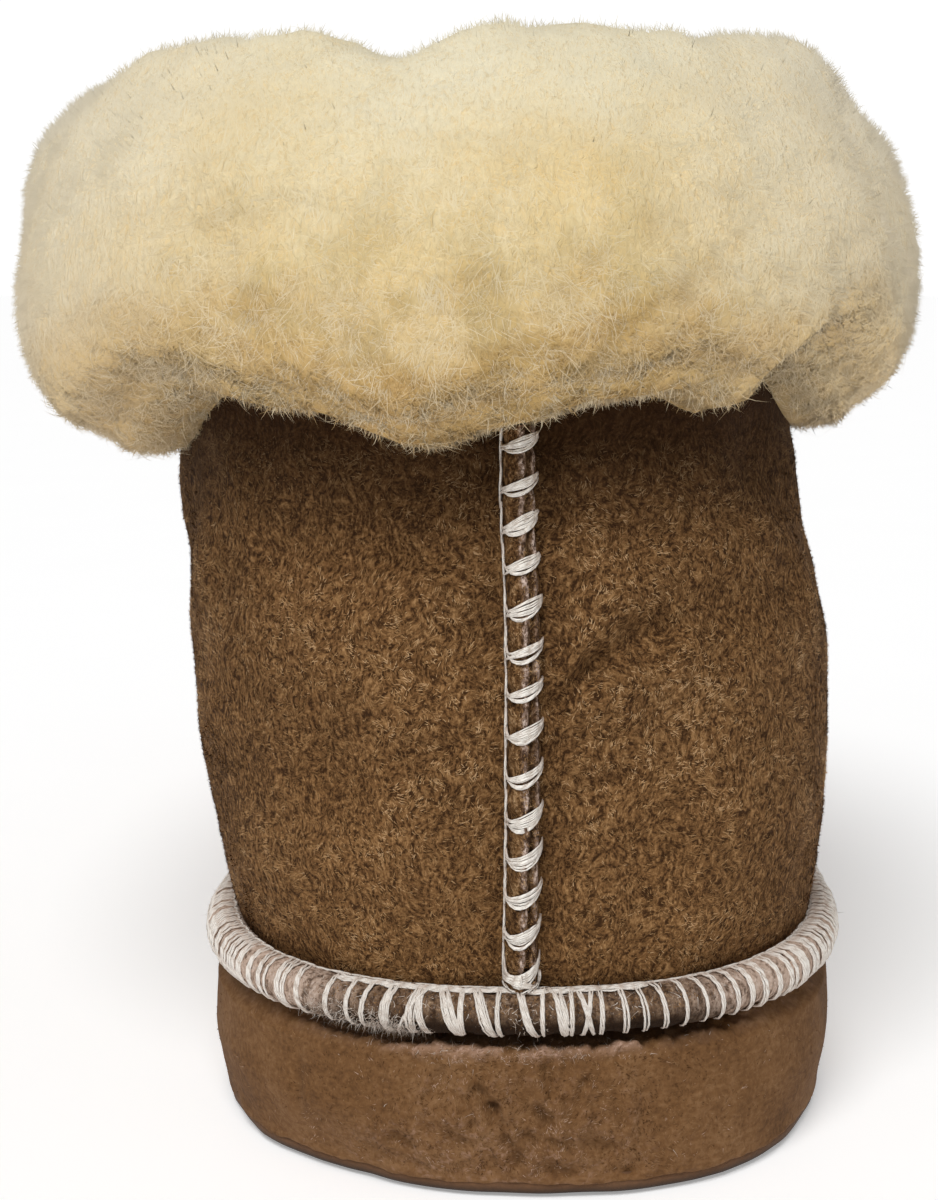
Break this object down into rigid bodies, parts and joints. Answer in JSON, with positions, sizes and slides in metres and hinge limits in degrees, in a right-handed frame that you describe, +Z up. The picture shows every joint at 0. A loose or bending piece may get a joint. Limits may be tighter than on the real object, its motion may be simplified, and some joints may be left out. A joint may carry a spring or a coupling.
{
  "type": "sheepskin slipper",
  "caption": "Ankle-high brown suede slipper with a turned-down cream wool cuff, overcast rib seams and a suede-wrapped sole.",
  "frame": {"origin": "centre of the bounding box's underside, on the surface that the sole stands on", "axes": "+Z up, +Y from the heel to the toe, +X towards the outer side of the right foot"},
  "size_m": [0.109, 0.277, 0.1274],
  "materials": {
    "upper_suede": "brushed mid-brown suede with a tan nap",
    "sole_wrap_suede": "smooth lighter brown suede, glued, with creases",
    "wool": "deep cream sheep's wool, golden in places",
    "outsole_rubber": "matt dark brown",
    "thread": "cream waxed thread"
  },
  "bodies": {
    "root": {"outsole": "outsole_rubber", "midsole": "sole_wrap_suede", "footbed": "wool", "upper": "upper_suede", "welt": "upper_suede", "heel_rib": "upper_suede", "vamp_rib": "upper_suede", "cuff": "wool"}
  },
  "joints": []
}
